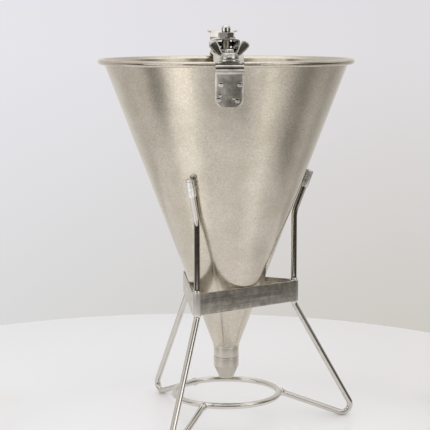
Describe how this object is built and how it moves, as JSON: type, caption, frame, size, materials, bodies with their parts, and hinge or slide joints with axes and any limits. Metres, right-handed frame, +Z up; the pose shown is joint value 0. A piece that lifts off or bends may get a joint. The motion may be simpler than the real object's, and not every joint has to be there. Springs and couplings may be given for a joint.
{
  "type": "batter dispenser",
  "caption": "Steel funnel for pancake batter with a thumb lever that lifts a valve plug on a rod, a screw-on nozzle and a handle, standing in a bent-wire stand.",
  "frame": {"origin": "on the table, under the centre of the object's box", "axes": "+Z up along the funnel; -Y is the front with the wing nut; +Y is the side with the handle and thumb pad"},
  "size_m": [0.2032, 0.236, 0.3156],
  "materials": {
    "satin_steel": "satin, fine spun grain",
    "polished_steel": "polished",
    "brushed_band": "coarse horizontal brushing",
    "vinyl": "translucent, smooth",
    "seal_rubber": "matte"
  },
  "bodies": {
    "stand": {"base_ring": "polished_steel", "leg_wire_front": "polished_steel", "leg_wire_right": "polished_steel", "leg_wire_rear": "polished_steel", "band": "brushed_band", "tip_sleeve_front": "vinyl", "tip_sleeve_right": "vinyl", "tip_sleeve_rear": "vinyl"},
    "funnel": {"funnel_cone": "satin_steel", "outlet_collar": "polished_steel", "front_bracket": "polished_steel", "clamp_stud": "polished_steel", "clamp_washer": "polished_steel", "bridge_strap": "satin_steel", "hinge_saddle": "polished_steel", "saddle_rivet_front": "polished_steel", "saddle_rivet_rear": "polished_steel", "hinge_pin": "polished_steel", "guide_bush": "satin_steel", "bush_nut": "polished_steel", "handle": "polished_steel"},
    "lever_body": {"lever": "polished_steel"},
    "plunger": {"plunger_rod": "polished_steel", "lift_nut": "polished_steel", "spring_collar": "polished_steel", "collar_pin": "polished_steel", "return_spring": "polished_steel", "valve_plug": "satin_steel", "plug_nut": "polished_steel"},
    "wing_nut_body": {"wing_nut": "polished_steel"},
    "nozzle_body": {"nozzle": "polished_steel", "nozzle_gasket": "seal_rubber"}
  },
  "joints": [
    {"name": "funnel_lift", "type": "slide", "parent": "stand", "child": "funnel", "axis": [0, 0, 1], "range_m": [0, 0.22]},
    {"name": "lever_hinge", "type": "hinge", "parent": "funnel", "child": "lever_body", "pos_m": [-0.00171, 0.06526, 0.2995], "axis": [-1, 0, 0], "range_deg": [0, 7], "stiffness_Nm_per_rad": 1.5, "springref_deg": -2.86},
    {"name": "plunger_lift", "type": "slide", "parent": "funnel", "child": "plunger", "axis": [0, 0, 1], "range_m": [0, 0.0108], "stiffness_N_per_m": 400, "springref_m": -0.003, "deforming": ["return_spring"]},
    {"name": "wing_nut_turn", "type": "hinge", "parent": "funnel", "child": "wing_nut_body", "pos_m": [-0.00171, -0.10274, 0.295], "axis": [0, 0, 1], "continuous": true},
    {"name": "nozzle_turn", "type": "hinge", "parent": "funnel", "child": "nozzle_body", "pos_m": [-0.00171, -0.01674, 0.045], "axis": [0, 0, 1], "continuous": true}
  ],
  "couplings": [
    {"joint": "plunger_lift", "follows": "lever_hinge", "m_per_rad": 0.087}
  ]
}
